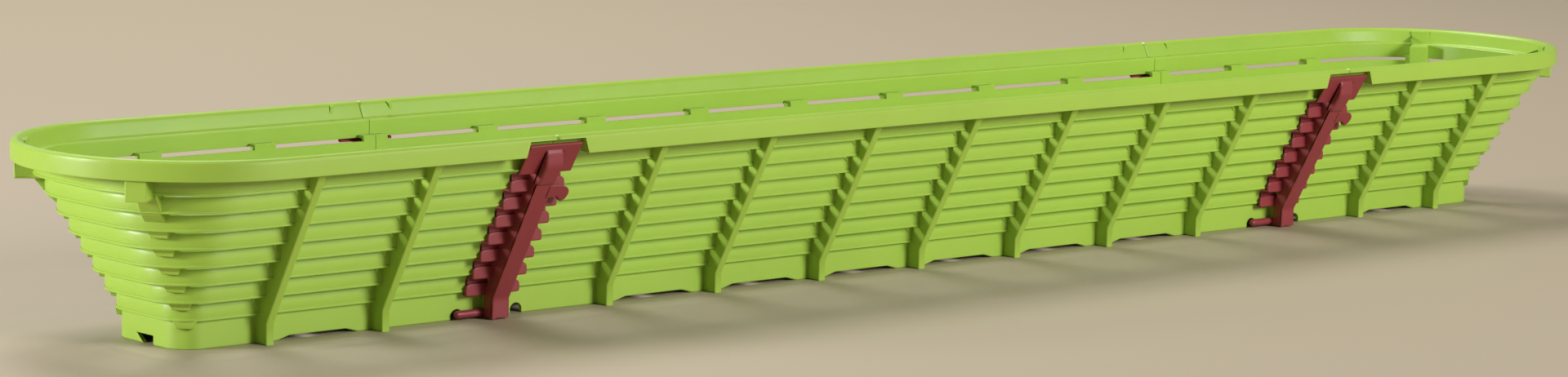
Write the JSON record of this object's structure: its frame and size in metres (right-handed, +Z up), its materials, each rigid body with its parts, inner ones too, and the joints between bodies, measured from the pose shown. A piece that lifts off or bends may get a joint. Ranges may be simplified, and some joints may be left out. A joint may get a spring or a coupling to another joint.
{
  "type": "bread proofing basket",
  "caption": "Long moulded plastic proofing basket, slotted and ribbed, in three open modules held together by hinged clips at the seams.",
  "frame": {"origin": "under the middle of the basket, on the surface that it stands on", "axes": "+X along the basket towards its right end, +Y towards its back side, +Z up"},
  "size_m": [0.914, 0.144, 0.083],
  "materials": {
    "lime_plastic": "smooth moulded plastic, satin",
    "dark_red_plastic": "smooth moulded plastic, semi-gloss"
  },
  "bodies": {
    "basket": {"middle_module": "lime_plastic", "end_module_left": "lime_plastic", "end_module_right": "lime_plastic"},
    "clip_front_left": {"clip_front_left": "dark_red_plastic"},
    "clip_front_right": {"clip_front_right": "dark_red_plastic"},
    "clip_back_left": {"clip_back_left": "dark_red_plastic"},
    "clip_back_right": {"clip_back_right": "dark_red_plastic"}
  },
  "joints": [
    {"name": "clip_front_left_hinge", "type": "hinge", "parent": "basket", "child": "clip_front_left", "pos_m": [-0.25, -0.02705, 0.0025], "axis": [1, 0, 0], "range_deg": [0, 50]},
    {"name": "clip_front_right_hinge", "type": "hinge", "parent": "basket", "child": "clip_front_right", "pos_m": [0.25, -0.02705, 0.0025], "axis": [1, 0, 0], "range_deg": [0, 50]},
    {"name": "clip_back_left_hinge", "type": "hinge", "parent": "basket", "child": "clip_back_left", "pos_m": [-0.25, 0.02705, 0.0025], "axis": [-1, 0, 0], "range_deg": [0, 50]},
    {"name": "clip_back_right_hinge", "type": "hinge", "parent": "basket", "child": "clip_back_right", "pos_m": [0.25, 0.02705, 0.0025], "axis": [-1, 0, 0], "range_deg": [0, 50]}
  ]
}
